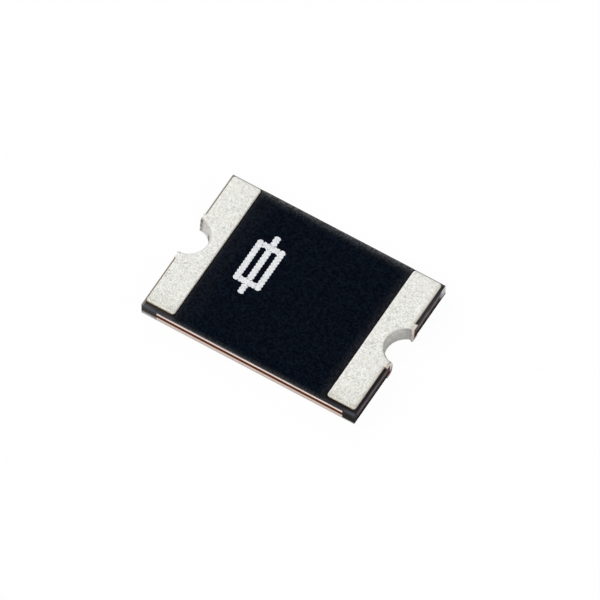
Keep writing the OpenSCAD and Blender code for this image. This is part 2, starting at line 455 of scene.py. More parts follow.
def terminal_skin(plan, section, side, burr=0.0):
    """Grid of points of one skin: the section carried along the rim and the notch together.

    The flats fall off to their edges by the plan's crown. A burr at the sawn end narrows the notch
    by burr * exp(-(distance from the end / reach)^2): on the near side times sin(pi * height / chip
    height), and on the far side times a ripple that keeps it down to the foot.
    """
    sizes = plan.sizes
    inset, radius, share, height = section.T
    hole = plan.round_hole(radius)
    from_end = (HALF_LENGTH - hole[..., 0]) / sizes.burr_reach
    far = np.sign(hole[..., 1] - plan.hole[1])
    ripple = RIPPLE_MEAN + RIPPLE_SWING * np.sin(2 * math.pi * height / RIPPLE_LENGTH + RIPPLE_START)
    bulge = np.where(far > 0, ripple, np.sin(math.pi * height / CHIP_HEIGHT).clip(0))
    hole[..., 1] -= far * burr * np.exp(-from_end ** 2) * notch_share(section, sizes) * bulge
    flat = (1 - share)[:, None] * plan.edge(inset) + share[:, None] * hole
    middle = CHIP_HEIGHT / 2
    over = (np.abs(height - middle) - (PAD_FOIL_TOP - middle)) / (CHIP_HEIGHT - PAD_FOIL_TOP)
    heights = height - np.sign(height - middle) * np.clip(over, 0, 1) * plan.crown(flat)
    return np.concatenate([flat, heights[..., None]], -1) * np.array([side, 1, 1])


def notch_share(section, sizes):
    """How far each point of a section lies from the pad's face towards the notch's wall, from 0 to 1."""
    depth_in = 1 - (section[:, 1] - sizes.notch_radius) / sizes.shoulder_radius
    return np.clip((section[:, 2] == 1) * depth_in, 0, 1)


def leaning(section, lean, sizes):
    """Section whose notch narrows downwards: radius - lean * (1 - height / chip height) on the wall."""
    leaned = section.copy()
    leaned[:, 1] -= lean * (1 - section[:, 3] / CHIP_HEIGHT) * notch_share(section, sizes)
    return leaned


def flank_share(section):
    """How far each point of a section lies down the pad's flank, from 0 at its face to 1 at its foot."""
    middle = CHIP_HEIGHT / 2
    under = (CHIP_HEIGHT - middle - np.abs(section[:, 3] - middle)) / (CHIP_HEIGHT - LAMINATE_TOP)
    return np.clip((section[:, 2] == 0) * under, 0, 1)


def tin_mesh(side, sizes):
    """Tin over the two pads of one end and the notch between them.

    Its attributes say how far a point lies in the notch and down the flank.
    """
    plan = TerminalPlan(side, sizes)
    section = terminal_section(sizes, 0.0, LAMINATE_TOP)
    lean, burr = (sizes.left_lean, sizes.left_burr) if side == LEFT else (0.0, sizes.right_burr)
    outer = terminal_skin(plan, leaning(section, lean, sizes), side, burr)
    inner = terminal_skin(plan, terminal_section(sizes, TIN_THICKNESS, LAMINATE_TOP), side)
    shell = closed_shell(
        outer, inner,
        notch=np.broadcast_to(notch_share(section, sizes), outer.shape[:2]),
        flank=np.broadcast_to(flank_share(section), outer.shape[:2]),
    )
    return shell_mesh(f"{SIDE_NAMES[side]}_tin", shell)


def copper_mesh(side, sizes):
    """Copper plating under the tin of one end, from the pad foils' faces to the drilled wall."""
    plan = TerminalPlan(side, sizes)
    outer = terminal_skin(plan, terminal_section(sizes, TIN_THICKNESS, PAD_FOIL_TOP), side)
    inner = terminal_skin(plan, terminal_section(sizes, TIN_THICKNESS + COPPER_THICKNESS, PAD_FOIL_TOP), side)
    return shell_mesh(f"{SIDE_NAMES[side]}_copper", closed_shell(outer, inner))


def spread(low, high, fine, count):
    """Stations from low to high, half of them within a fine distance of the ends."""
    part = np.linspace(0, 1, count // 4 + 1)[:-1] ** CROWDING * fine
    return np.concatenate([low + part, np.linspace(low + fine, high - fine, count // 2), high - part[::-1]])


# Stations of the printed film along the chip, across it, and over the rounding of a sawn side
ALONG_STEPS = 60
ACROSS_STEPS = 120
ROUNDING_STEPS = 8


def mask_mesh(name, node, sizes, up):
    """Printed film on one face of the laminate.

    With e the distance from a sawn side, its height is thickness - droop * (1 - e / reach)^2 over
    the reach, for both sides, times 0.5 + 0.5 of a quarter circle of the distance from every edge
    over its feather.
    """
    low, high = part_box(node)
    x = spread(low.x, high.x, sizes.end_feather, ALONG_STEPS)[:, None]
    rounding = np.linspace(0, 1, ROUNDING_STEPS + 1)[:-1] ** CROWDING * sizes.feather
    y = np.concatenate([
        low.y + rounding,
        spread(low.y + sizes.feather, high.y - sizes.feather, sizes.droop_reach, ACROSS_STEPS),
        high.y - rounding[::-1],
    ])[None, :]
    rise = high.z - low.z
    for distance, droop in ((y - low.y, sizes.near_droop), (high.y - y, sizes.far_droop)):
        rise = rise - droop * np.clip(1 - distance / sizes.droop_reach, 0, 1) ** 2
    from_side = np.minimum(y - low.y, high.y - y)
    from_end = np.minimum(x - low.x, high.x - x)
    for distance, feather in ((from_end, sizes.end_feather), (from_side, sizes.feather)):
        rise = rise * (0.5 + 0.5 * np.sqrt(1 - np.clip(1 - distance / feather, 0, 1) ** 2))
    base = low.z if up else high.z
    outer = np.stack(np.broadcast_arrays(x, y, base + rise if up else base - rise), -1)
    inner = np.stack(np.broadcast_arrays(x, y, np.array(base)), -1)
    return shell_mesh(name, closed_shell(outer, inner))


def dotted_half_width(along, sizes):
    """Half width of a stroke whose edges are rows of overlapping round dots."""
    offset = (along / sizes.dot_pitch + 0.5) % 1 - 0.5
    bow = np.sqrt(sizes.dot_radius ** 2 - (offset * sizes.dot_pitch) ** 2)
    return sizes.stroke / 2 - sizes.dot_radius + bow


# Stations of a stroke for each of its dots, the fewest that it may have, those across it, and the
# square of the share of a dot's radius that a free end keeps
DOT_STEPS = 14
FEWEST_STEPS = 24
STROKE_STEPS = 17
BLUNT = 0.12


def stroke_shell(start, end, ends, base, sizes):
    """Straight ink stroke from one point to another, as a low pillow on the mask with dotted edges.

    Its half width is that of the dots, less a quarter circle at each end that is free. An end that
    meets another stroke stays square. With a from -1 to 1 across the stroke, its height is
    thickness * sqrt(1 - 0.9 * a^8).
    """
    start, end = np.array(start), np.array(end)
    run = np.linalg.norm(end - start)
    ahead = (end - start) / run
    aside = np.array([-ahead[1], ahead[0]])
    along = np.linspace(0, run, max(int(run / sizes.dot_pitch * DOT_STEPS), FEWEST_STEPS))[:, None]
    across = np.linspace(-1, 1, STROKE_STEPS)[None, :]
    from_end = np.full_like(along, sizes.dot_radius)
    for free, distance in zip(ends, (along, run - along)):
        from_end = np.minimum(from_end, distance) if free else from_end
    closing = np.sqrt(np.clip(1 - (1 - from_end / sizes.dot_radius).clip(0, 1) ** 2, BLUNT, 1))
    half = dotted_half_width(along - run / 2, sizes) - sizes.dot_radius * (1 - closing)
    plan = start + along[..., None] * ahead + (across * half)[..., None] * aside
    rise = sizes.ink_thickness * np.sqrt(1 - 0.9 * across ** 8) * np.ones_like(along)
    outer = np.concatenate([plan, (base + rise)[..., None]], -1)
    inner = np.concatenate([plan, np.full(rise.shape + (1,), base)], -1)
    return closed_shell(outer, inner)


def mark_mesh(base, sizes):
    """Ink mark in the form of the common circuit symbol for a fuse: a box with a line from end to end."""
    x, y = sizes.mark_x, sizes.mark_y
    half_x, half_y = sizes.box_width / 2, sizes.box_length / 2
    inside = half_y - sizes.stroke / 2
    outside = half_y + sizes.stroke / 2
    gap = half_x - sizes.stroke / 2
    tip = sizes.mark_length / 2
    # Start, end, and whether each of them is free
    strokes = [
        ((x - half_x, y - outside), (x - half_x, y + outside), (True, True)),
        ((x + half_x, y - outside), (x + half_x, y + outside), (True, True)),
        ((x - gap, y - half_y), (x + gap, y - half_y), (False, False)),
        ((x - gap, y + half_y), (x + gap, y + half_y), (False, False)),
        ((x, y - inside), (x, y + inside), (False, False)),
        ((x, y - tip), (x, y - outside), (True, False)),
        ((x, y + outside), (x, y + tip), (False, True)),
    ]
    return shell_mesh("ink_mark", *(stroke_shell(*stroke, base, sizes) for stroke in strokes))


# Materials


def add(tree, kind, inputs=(), output=None, **options):
    """Adds a node to a tree, with its options set and each input given a value or linked to a socket.

    Gives the named output, or all of them.
    """
    node = tree.nodes.new("ShaderNode" + kind)
    for key, value in options.items():
        setattr(node, key, value)
    for key, value in dict(inputs).items():
        if isinstance(value, bpy.types.NodeSocket):
            tree.links.new(value, node.inputs[key])
        else:
            node.inputs[key].default_value = value
    return node.outputs[output] if output else node.outputs


def empty_material(name):
    """A new material and its tree, with no node in it yet."""
    material = bpy.data.materials.new(name)
    material.use_nodes = True
    material.node_tree.nodes.clear()
    return material, material.node_tree


def dressed(material, relief, strength, depth, **inputs):
    """Ends a material with a principled shader over a relief of some strength and depth.

    Keys are the shader's inputs, with low lines for blanks.
    """
    tree = material.node_tree
    values = {key.replace("_", " "): value for key, value in inputs.items()}
    bump = {"Height": relief, "Strength": strength, "Distance": depth}
    values["Normal"] = add(tree, "Bump", bump, "Normal")
    shader = add(tree, "BsdfPrincipled", values, "BSDF")
    add(tree, "OutputMaterial", {"Surface": shader})
    return material


def per_size(size):
    """Texture scale that makes a pattern's features about this many metres wide."""
    return 1.0 / size


def rgba(values):
    """A colour with full alpha."""
    return (*values[:3], 1.0)


def shaded(values, factor):
    """A colour made darker or lighter by a factor."""
    return (*[min(c * factor, 1.0) for c in values[:3]], 1.0)


def whereabouts(tree):
    """The place on the chip as a vector, and its three coordinates."""
    place_at = add(tree, "TexCoord", output="Object")
    return (place_at, *add(tree, "SeparateXYZ", {"Vector": place_at}))


def apart(tree, value, middle=0.0):
    """Distance of a coordinate from a middle."""
    offset = add(tree, "Math", {0: value, 1: middle}, "Value", operation="SUBTRACT")
    return add(tree, "Math", {0: offset}, "Value", operation="ABSOLUTE")


def zone(tree, *steps):
    """Share that a finish has at a place: the product of its steps.

    A step is a value, the bounds between which its share changes smoothly, and the share at each
    bound, which is nought and one if not given. A socket is a share that is already worked out.
    """
    product = None
    for step in steps:
        if isinstance(step, tuple):
            value, low, high, *ends = step
            start, end = ends or (0.0, 1.0)
            rise = {"Value": value, "From Min": low, "From Max": high, "To Min": start, "To Max": end}
            step = add(tree, "MapRange", rise, "Result", interpolation_type="SMOOTHSTEP")
        if product is None:
            product = step
        else:
            product = add(tree, "Math", {0: product, 1: step}, "Value", operation="MULTIPLY")
    return product


def either(tree, *shares):
    """Share of several zones together: the largest of theirs."""
    largest = shares[0]
    for share in shares[1:]:
        largest = add(tree, "Math", {0: largest, 1: share}, "Value", operation="MAXIMUM")
    return largest


def layered(tree, base, *layers):
    """Colour of a base with other colours laid over it in turn, each by its share."""
    for share, tone in layers:
        base = add(tree, "Mix", {"Factor": share, "A": base, "B": tone}, "Result", data_type="RGBA")
    return base


def on_face(tree, distance, half):
    """One where a distance from the middle reaches a sawn face, and nought inside it."""
    return zone(tree, (distance, half - 0.0008 * MM, half - 0.0002 * MM))


def near_notch(tree, y):
    """One on the near side of a notch, and nought on its far side."""
    middle = settings().terminals.hole_shift_y
    return zone(tree, (y, middle + 0.01 * MM, middle))


def saw_score(tree, place_at):
    """Scores that the saw leaves in copper, drawn out along its cut."""
    drawn = add(tree, "Mapping", {"Vector": place_at, "Scale": (1.0, 1.0, 0.2)}, "Vector")
    return add(tree, "TexNoise", {"Vector": drawn, "Scale": per_size(0.05 * MM), "Detail": 3.0}, "Fac")


def saw_smear(tree, y, z, tone):
    """Colour of plating that the saw has cut: pale at the rim, and red and dark low on the near side."""
    terminals = settings().terminals
    near = near_notch(tree, y)
    return layered(
        tree, tone,
        (near, rgba(terminals.near_smear)),
        (zone(tree, (z, 0.5 * CHIP_HEIGHT, 0.75 * CHIP_HEIGHT, 0.0, 0.85)), rgba(terminals.pale_smear)),
        (zone(tree, near, (z, 0.45 * CHIP_HEIGHT, 0.2 * CHIP_HEIGHT)), rgba(terminals.deep_smear)),
    )


def matte_tin_plating():
    """Matte electroplated tin: pale warm grey with a fine frosted grain of bright and dull crystals.

    In the notch the deposit is thinner and greyer, and the walls carry painted light and shade: the
    left wall is lighter, as lit from the left, and the right wall darker, as in shade. It is stained
    brown where the saw has bared copper at the left end, and smeared pink where the sawn end cuts
    through it. Flanks are painted dark as shade, and the rounded edges' cream tint is partly painted shade.
    """
    terminals = settings().terminals
    tin, shaded_wall_tin = terminals.tin, terminals.shaded_right_wall
    material, tree = empty_material("matte_tin_plating")
    place_at, x, y, z = whereabouts(tree)
    # Real crystals are a few thousandths of a millimetre wide. They are drawn ten times as coarse to show.
    grain = add(tree, "TexNoise", {"Vector": place_at, "Scale": per_size(0.03 * MM), "Roughness": 0.7}, "Fac")
    facet = add(tree, "TexVoronoi", {"Vector": place_at, "Scale": per_size(0.04 * MM)})
    cloud = add(tree, "TexNoise", {"Vector": place_at, "Scale": per_size(0.4 * MM)}, "Fac")
    blot = add(tree, "TexNoise", {"Vector": place_at, "Scale": per_size(0.07 * MM), "Detail": 3.0}, "Fac")
    notch = add(tree, "Attribute", output="Fac", attribute_name="notch")
    flank = add(tree, "Attribute", output="Fac", attribute_name="flank")

    # Crystals on the pads' faces, here and there under a dull cloud
    crystals = layered(tree, shaded(tin, 0.69), (zone(tree, (grain, 0.3, 0.7)), shaded(tin, 1.14)))
    tone = layered(
        tree, shaded(tin, 0.57),
        (zone(tree, (facet["Color"], 0.0, 0.3)), crystals),
        (zone(tree, (cloud, 0.35, 0.65, 0.0, 0.3)), shaded(tin, 0.93)),
    )

    # A stain over the pads' near and far ends
    dull = zone(tree, (y, -1.1 * MM, -1.5 * MM), (x, -MM, MM, 0.5, 0.4))
    dark = zone(tree, (y, -1.41 * MM, -1.47 * MM), (x, -MM, MM, 0.3, 0.6))
    near_end = add(tree, "Math", {0: dull, 1: dark}, "Value", operation="ADD")
    stained = either(tree, near_end, zone(tree, (y, 1.53 * MM, 1.58 * MM, 0.0, 0.6)))
    stain = {"Factor": stained, "A": tone, "B": rgba(terminals.end_stain)}
    tone = add(tree, "Mix", stain, "Result", data_type="RGBA", blend_type="MULTIPLY")

    # Warm rims beside the sawn ends; on the right end the rim's warm grey is a painted reflection of the dark
    # surroundings
    from_hole = apart(tree, y, terminals.hole_shift_y)
    beside_ring = (from_hole, terminals.ring_radius - 0.05 * MM, terminals.ring_radius + 0.03 * MM)
    left_rim = zone(tree, beside_ring, (x, -2.205 * MM, -2.235 * MM, 0.0, 0.5))
    right_rim_reflection = zone(tree, (x, 2.15 * MM, 2.19 * MM, 0.0, 0.3))
    tone = layered(tree, tone, (either(tree, right_rim_reflection, left_rim), rgba(terminals.edge)))

    # Thinner, mottled tin on the notches' walls, darker to their foot and at their ends, with painted light:
    # the left wall is lighter, as lit, and the right wall darker, as in shade
    upward = zone(tree, (z, 0.05 * MM, 0.36 * MM))
    wall_far = zone(tree, (y, 0.36 * MM, 0.46 * MM))
    wall_near = zone(tree, (y, 0.1 * MM, -0.06 * MM, 0.0, 0.4))
    pits = zone(tree, (grain, 0.6, 0.35, 0.0, 0.45))
    patches = zone(tree, (blot, 0.55, 0.4, 0.0, 0.5))
    wall = layered(
        tree, shaded(shaded_wall_tin, 0.68),
        (upward, rgba(shaded_wall_tin)),
        (zone(tree, either(tree, wall_far, wall_near), upward), shaded(shaded_wall_tin, 0.66)),
        (zone(tree, (x, MM, -MM)), rgba(terminals.lit_left_wall)),
        (either(tree, pits, patches), shaded(shaded_wall_tin, 0.52)),
    )

    # Bared copper at the right notch's tip, along the left notch's mouth and in a ragged spot on its wall
    tip = zone(tree, (x, 2.225 * MM, 2.27 * MM), (blot, 0.4, 0.6, 0.0, 0.75), near_notch(tree, y))
    mouth = zone(tree, (x, -2.185 * MM, -2.25 * MM), notch, (blot, 0.35, 0.6, 0.15, 0.95))
    spot_at = (-1.997 * MM, 0.309 * MM, 0.17 * MM)
    from_spot = add(tree, "VectorMath", {0: place_at, 1: spot_at}, "Value", operation="DISTANCE")
    rag = zone(tree, (blot, 0.3, 0.7, 0.03 * MM, -0.03 * MM))
    ragged = add(tree, "Math", {0: from_spot, 1: rag}, "Value", operation="ADD")
    base = layered(
        tree, tone,
        (zone(tree, (notch, 0.2, 0.65)), wall),
        # Cream tint down the pads' rounded edges, partly the tin's tone and partly painted shade that dims
        # their highlights
        (zone(tree, (flank, 0.02, 0.3, 0.0, 0.75)), rgba(terminals.edge)),
        (tip, rgba(terminals.stain)),
        (mouth, rgba(terminals.stain)),
        (zone(tree, (ragged, 0.085 * MM, 0.055 * MM)), shaded(terminals.stain, 0.3)),
        # Painted shade: the pads' flanks dark towards their foot
        (zone(tree, (flank, 0.55, 0.9)), rgba(terminals.flank)),
        (on_face(tree, apart(tree, x), HALF_LENGTH), saw_smear(tree, y, z, rgba(terminals.smear))),
    )
    rough = zone(tree, (facet["Color"], 0.0, 1.0, 0.48, 0.66))
    relief = add(tree, "Math", {0: grain, 1: facet["Distance"]}, "Value", operation="ADD")
    return dressed(material, relief, 0.9, 0.005 * MM, Base_Color=base, Metallic=0.4, Roughness=rough)


def black_solder_mask():
    """Cured epoxy solder mask, screen printed: blue-black and smooth, thinner and greyer along its near side,
    with a painted sheen along its far side and beside the right pad.
    """
    mask = settings().mask
    material, tree = empty_material("black_solder_mask")
    place_at, x, y, _ = whereabouts(tree)
    peel = add(tree, "TexNoise", {"Vector": place_at, "Scale": per_size(0.12 * MM), "Detail": 3.0}, "Fac")
    fleck = add(tree, "TexNoise", {"Vector": place_at, "Scale": per_size(0.05 * MM)}, "Fac")
    flecked = zone(tree, (fleck, 0.35, 0.65))

    # Thinner and greyer by the left pad and along the near side; beside the right pad the grey is a painted
    # sheen
    right_end = zone(tree, (x, 1.4 * MM, 1.62 * MM, 0.0, 0.55))
    left_end = zone(tree, (x, -1.15 * MM, -1.45 * MM, 0.0, 0.13))
    near_side = zone(tree, (y, 0.09 * MM - HALF_WIDTH, -HALF_WIDTH))
    thin_and_sheen = layered(tree, shaded(mask.thin_mask_and_sheen, 0.65), (flecked, shaded(mask.thin_mask_and_sheen, 1.35)))

    # Painted sheen along the far side, stronger to its edge and to the left
    reach = {"Value": y, "From Min": HALF_WIDTH - 0.25 * MM, "From Max": HALF_WIDTH}
    to_edge = add(tree, "MapRange", reach, "Result")
    steep = add(tree, "Math", {0: to_edge, 1: 3.6}, "Value", operation="POWER")
    far_sheen = zone(tree, steep, (x, -1.3 * MM, -0.5 * MM, 1.1, 0.9), (fleck, 0.35, 0.65, 0.5, 1.5))
    tone = layered(
        tree, rgba(mask.deep_mask),
        (flecked, rgba(mask.mask)),
        (zone(tree, (peel, 0.35, 0.65, 0.0, 0.45)), rgba(mask.deep_mask)),
        (either(tree, right_end, left_end, near_side), thin_and_sheen),
        (far_sheen, rgba(mask.painted_far_sheen)),
    )
    return dressed(material, peel, 0.1, 0.002 * MM, Base_Color=tone, IOR=1.5, Roughness=0.16)


def white_marking_ink():
    """Dot-printed epoxy ink: flat white, a little thinner between the dots."""
    ink = settings().mask.ink
    material, tree = empty_material("white_marking_ink")
    place_at = whereabouts(tree)[0]
    blot = add(tree, "TexNoise", {"Vector": place_at, "Scale": per_size(0.035 * MM)}, "Fac")
    tone = layered(tree, shaded(ink, 0.86), (zone(tree, (blot, 0.3, 0.7)), shaded(ink, 1.1)))
    return dressed(material, blot, 0.4, 0.002 * MM, Base_Color=tone, IOR=1.5, Roughness=0.6)


# Colours of a sawn end from the laminate's base up, by share of its height
END_TONES = (
    (0.0, "#1E1B1B"),
    (0.3, "#2A2626"),
    (0.49, "#5A5050"),
    (0.68, "#807475"),
    (0.83, "#6F6564"),
    (0.96, "#514B4A"),
    (1.0, "#494443"),
)


def sawn_end(tree, place_at, x, y, z):
    """Colour of the sawn ends: bands by height, copper smeared by the notch, pale streaks at a far corner."""
    laminate, terminals = settings().laminate, settings().terminals
    rise = {"Value": z, "From Min": LAMINATE_BOTTOM, "From Max": LAMINATE_TOP}
    level = add(tree, "MapRange", rise, "Result")
    bands = add(tree, "ValToRGB", {"Fac": level}, "Color")
    stops = bands.node.color_ramp.elements
    for share, _ in END_TONES[1:-1]:
        stops.new(share)
    for stop, (_, tone) in zip(stops, END_TONES):
        stop.color = rgba(linear(tone))
    drawn = add(tree, "Mapping", {"Vector": place_at, "Scale": (1.0, 0.3, 2.0)}, "Vector")
    streak = add(tree, "TexNoise", {"Vector": drawn, "Scale": per_size(0.06 * MM), "Detail": 3.0}, "Fac")
    lighter = add(tree, "VectorMath", {0: bands, "Scale": 1.2}, "Vector", operation="SCALE")
    beside_notch = (apart(tree, y, terminals.hole_shift_y), 0.6 * MM, 0.47 * MM)
    smear = zone(tree, beside_notch, (streak, 0.3, 0.6, 0.2, 0.8), (level, 0.85, 0.6, 0.3, 1.0))
    far_corner = (y, 1.4 * MM, 1.52 * MM)
    far_corner_streaks = zone(tree, far_corner, (streak, 0.34, 0.5, 0.2, 1.0), (level, 0.1, 0.35), (x, -MM, MM))
    return layered(
        tree, bands,
        (zone(tree, (y, 0.3 * MM, 0.9 * MM)), lighter),
        (zone(tree, (streak, 0.35, 0.7, 0.0, 0.5)), shaded(laminate.cover, 1.5)),
        (smear, rgba(terminals.deep_smear)),
        (zone(tree, (y, -1.45 * MM, -1.57 * MM, 0.0, 0.8)), shaded(laminate.insulation, 0.6)),
        (far_corner_streaks, rgba(laminate.fibre)),
    )


def sawn_glass_epoxy():
    """Glass cloth in dark resin: slate above, almost black between the pads, dull and scored where sawn.

    On the long sides the saw has dragged copper from the lower foil down over the lower layer.
    """
    laminate, terminals = settings().laminate, settings().terminals
    slate, sawn = laminate.insulation, laminate.sawn_side
    material, tree = empty_material("sawn_glass_epoxy")
    place_at, x, y, z = whereabouts(tree)
    along, aside = apart(tree, x), apart(tree, y)
    # Real glass threads are about 0.01 mm wide. They are drawn ten times as coarse to show.
    drawn = add(tree, "Mapping", {"Vector": place_at, "Scale": (1.0, 1.0, 4.0)}, "Vector")
    weave = {"Vector": drawn, "Scale": per_size(0.1 * MM), "Detail": 4.0, "Roughness": 0.6}
    fibre = add(tree, "TexNoise", weave, "Fac")
    cloud = add(tree, "TexNoise", {"Vector": place_at, "Scale": per_size(0.3 * MM)}, "Fac")
    left = zone(tree, (x, 0.5 * MM, -0.5 * MM))

    # Upper and lower faces: slate, paler to the left and at the corners, in the pads' shadow beside them
    paler = zone(tree, (x, 0.5 * MM, -0.5 * MM, 0.0, 0.25))
    for step in ((along, 1.95 * MM, 2.2 * MM, 0.0, 0.45), (cloud, 0.3, 0.7, 0.0, 0.25)):
        paler = add(tree, "Math", {0: paler, 1: zone(tree, step)}, "Value", operation="ADD")
    # Painted shade on the margin beside the right pad's outer edge, darker towards the near side
    right_rim_shade = layered(tree, shaded(slate, 0.42), (zone(tree, (y, 0.0, 0.9 * MM)), shaded(slate, 0.8)))
    shadow = layered(tree, shaded(terminals.flank, 0.35), (left, shaded(terminals.flank, 0.8)))
    margin = layered(tree, shaded(slate, 0.35), (paler, shaded(slate, 2.0)))
    above = layered(
        tree, shadow,
        (zone(tree, (aside, 1.535 * MM, 1.605 * MM)), margin),
        (zone(tree, (x, 2.17 * MM, 2.21 * MM), (aside, 1.58 * MM, 1.5 * MM)), right_rim_shade),
        (zone(tree, (x, -2.225 * MM, -2.25 * MM)), rgba(laminate.bared_edge)),
        (zone(tree, (along, 1.85 * MM, 1.7 * MM), (aside, 1.56 * MM, 1.5 * MM)), rgba(laminate.cover)),
    )

    # Long sides: scored, with a pale brim and foot, and copper dragged over the lower layer
    brim = layered(tree, shaded(slate, 1.25), (left, shaded(slate, 2.1)))
    left_foot = zone(tree, left, (z, 0.17 * MM, 0.07 * MM))
    low_foot = zone(tree, (z, 0.105 * MM, 0.065 * MM))
    foil_low, foil_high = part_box("lower_electrode_foil")
    dragged = zone(
        tree,
        (z, foil_low.z + 0.004 * MM, foil_low.z - 0.002 * MM),
        (x, foil_low.x - 0.03 * MM, foil_low.x + 0.02 * MM),
        (x, foil_high.x + 0.03 * MM, foil_high.x - 0.02 * MM),
        (fibre, 0.3, 0.6, 0.75, 0.95),
    )
    side = layered(
        tree, shaded(sawn, 0.45),
        (zone(tree, (fibre, 0.3, 0.7)), shaded(sawn, 0.85)),
        (left, shaded(sawn, 1.2)),
        (zone(tree, (z, 0.27 * MM, 0.335 * MM)), brim),
        (either(tree, left_foot, low_foot), rgba(laminate.pale_side)),
        (dragged, shaded(laminate.copper, 0.6)),
    )
    on_side = on_face(tree, aside, HALF_WIDTH)
    base = layered(
        tree, above,
        (on_side, side),
        (on_face(tree, along, HALF_LENGTH), sawn_end(tree, place_at, x, y, z)),
    )
    return dressed(
        material, fibre, 0.5, 0.004 * MM, Base_Color=base, Metallic=zone(tree, dragged, on_side),
        Roughness=0.5, IOR=1.53, Specular_IOR_Level=0.0,
    )


def carbon_filled_polymer():
    """Sawn polyethylene full of carbon black: brown-black and dull, drawn out along the saw's cut."""
    polymer, sawn = settings().laminate.polymer, settings().laminate.sawn_side
    material, tree = empty_material("carbon_filled_polymer")
    place_at, x, y, z = whereabouts(tree)
    cut = add(tree, "Mapping", {"Vector": place_at, "Scale": (0.35, 0.35, 2.0)}, "Vector")
    drawn = add(tree, "TexNoise", {"Vector": cut, "Scale": per_size(0.06 * MM), "Detail": 4.0}, "Fac")
    foil_low, foil_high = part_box("upper_electrode_foil")
    base = layered(
        tree, shaded(polymer, 0.6),
        (drawn, shaded(polymer, 1.4)),
        (zone(tree, (x, foil_low.x + 0.02 * MM, foil_low.x - 0.03 * MM)), shaded(sawn, 1.1)),
        (zone(tree, (x, foil_high.x - 0.02 * MM, foil_high.x + 0.03 * MM)), shaded(sawn, 0.55)),
        (on_face(tree, apart(tree, x), HALF_LENGTH), sawn_end(tree, place_at, x, y, z)),
    )
    return dressed(
        material, drawn, 0.5, 0.003 * MM, Base_Color=base, Roughness=0.6, IOR=1.51, Specular_IOR_Level=0.0,
    )


def sawn_copper_foil():
    """Sawn copper foil: pale pink metal, scored by the saw, red-brown beside the polymer and duller below."""
    laminate = settings().laminate
    material, tree = empty_material("sawn_copper_foil")
    place_at, _, _, z = whereabouts(tree)
    middle = (LAMINATE_BOTTOM + LAMINATE_TOP) / 2
    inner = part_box("upper_electrode_foil")[0].z - middle
    score = saw_score(tree, place_at)
    cloud = add(tree, "TexNoise", {"Vector": place_at, "Scale": per_size(0.35 * MM)}, "Fac")
    base = layered(
        tree, shaded(laminate.copper, 0.85),
        (zone(tree, (zone(tree, score, cloud), 0.12, 0.4)), shaded(laminate.copper, 1.03)),
        (zone(tree, (z, middle + inner, middle - inner, 0.0, 0.75)), shaded(laminate.copper, 0.62)),
        (zone(tree, (apart(tree, z, middle), inner + 0.025 * MM, inner)), rgba(laminate.old_copper)),
    )
    return dressed(material, score, 0.4, 0.003 * MM, Base_Color=base, Metallic=1.0, Roughness=0.38)


def sawn_copper_plating():
    """Sawn copper plating: red-brown metal, dragged and dulled by the saw."""
    copper, smear = settings().laminate.plated_copper, settings().terminals.deep_smear
    material, tree = empty_material("sawn_copper_plating")
    place_at, _, y, z = whereabouts(tree)
    score = saw_score(tree, place_at)
    tone = saw_smear(tree, y, z, rgba(copper))
    base = layered(tree, tone, (zone(tree, (score, 0.35, 0.65, 0.0, 0.4)), rgba(smear)))
    return dressed(material, score, 0.4, 0.003 * MM, Base_Color=base, Metallic=0.7, Roughness=0.45)


def white_sweep():
    """White card under the chip: plain matte white that keeps the chip's soft shadow.

    Most of what the camera, metal and gloss see of it is its own even white, so it stays as pale
    as the paper round a catalogue picture. Other light finds only the matte card.
    """
    stage = settings().stage
    material, tree = empty_material("white_sweep")
    path = add(tree, "LightPath")
    seen = either(tree, path["Is Camera Ray"], path["Is Glossy Ray"], path["Is Transmission Ray"])
    share = add(tree, "Math", {0: seen, 1: stage.floor_glow}, "Value", operation="MULTIPLY")
    card = add(tree, "BsdfDiffuse", {"Color": rgba(stage.floor)}, "BSDF")
    glow = add(tree, "Emission", {"Color": (1.0, 1.0, 1.0, 1.0), "Strength": 1.0}, "Emission")
    both = add(tree, "MixShader", {0: share, 1: card, 2: glow}, "Shader")
    add(tree, "OutputMaterial", {"Surface": both})
    return material


# Operators


class FUSE_OT_laminate(bpy.types.Operator):
    """Finish the sawn layers of the laminate and the copper that shows at their edges"""

    bl_idname = "fuse.laminate"
    bl_label = "Finish Laminate"

    def execute(self, context):
        copper = sawn_copper_foil()
        glass = sawn_glass_epoxy()
        finishes = {"ptc_polymer_sheet": carbon_filled_polymer()}
        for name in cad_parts:
            if name.endswith("_foil"):
                finishes[name] = copper
            elif name.endswith("_insulating_layer"):
                finishes[name] = glass
        for name, material in finishes.items():
            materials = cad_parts[name].data.materials
            materials.clear()
            materials.append(material)
        return {"FINISHED"}


class FUSE_OT_terminals(bpy.types.Operator):
    """Build the copper and tin plating of both terminals"""

    bl_idname = "fuse.terminals"
    bl_label = "Build Plated Terminals"

    def execute(self, context):
        copper = sawn_copper_plating()
        tin = matte_tin_plating()
        sizes = settings().terminals
        for side, word in SIDE_NAMES.items():
            node = f"{word}_copper_plating"
            place(f"{word}_copper_barrel", copper_mesh(side, sizes), copper, "plated_copper", node)
            place(f"{word}_tin_terminal", tin_mesh(side, sizes), tin, "plated_tin", f"{word}_tin_plating")
        return {"FINISHED"}


class FUSE_OT_masks(bpy.types.Operator):
    """Build the printed solder mask on both faces"""

    bl_idname = "fuse.masks"
    bl_label = "Build Solder Mask"

    def execute(self, context):
        material = black_solder_mask()
        for word, up in (("upper", True), ("lower", False)):
            node = f"{word}_solder_mask"
            mesh = mask_mesh(f"{word}_mask", node, settings().mask, up)
            place(f"{word}_mask_print", mesh, material, "solder_mask", node)
        return {"FINISHED"}


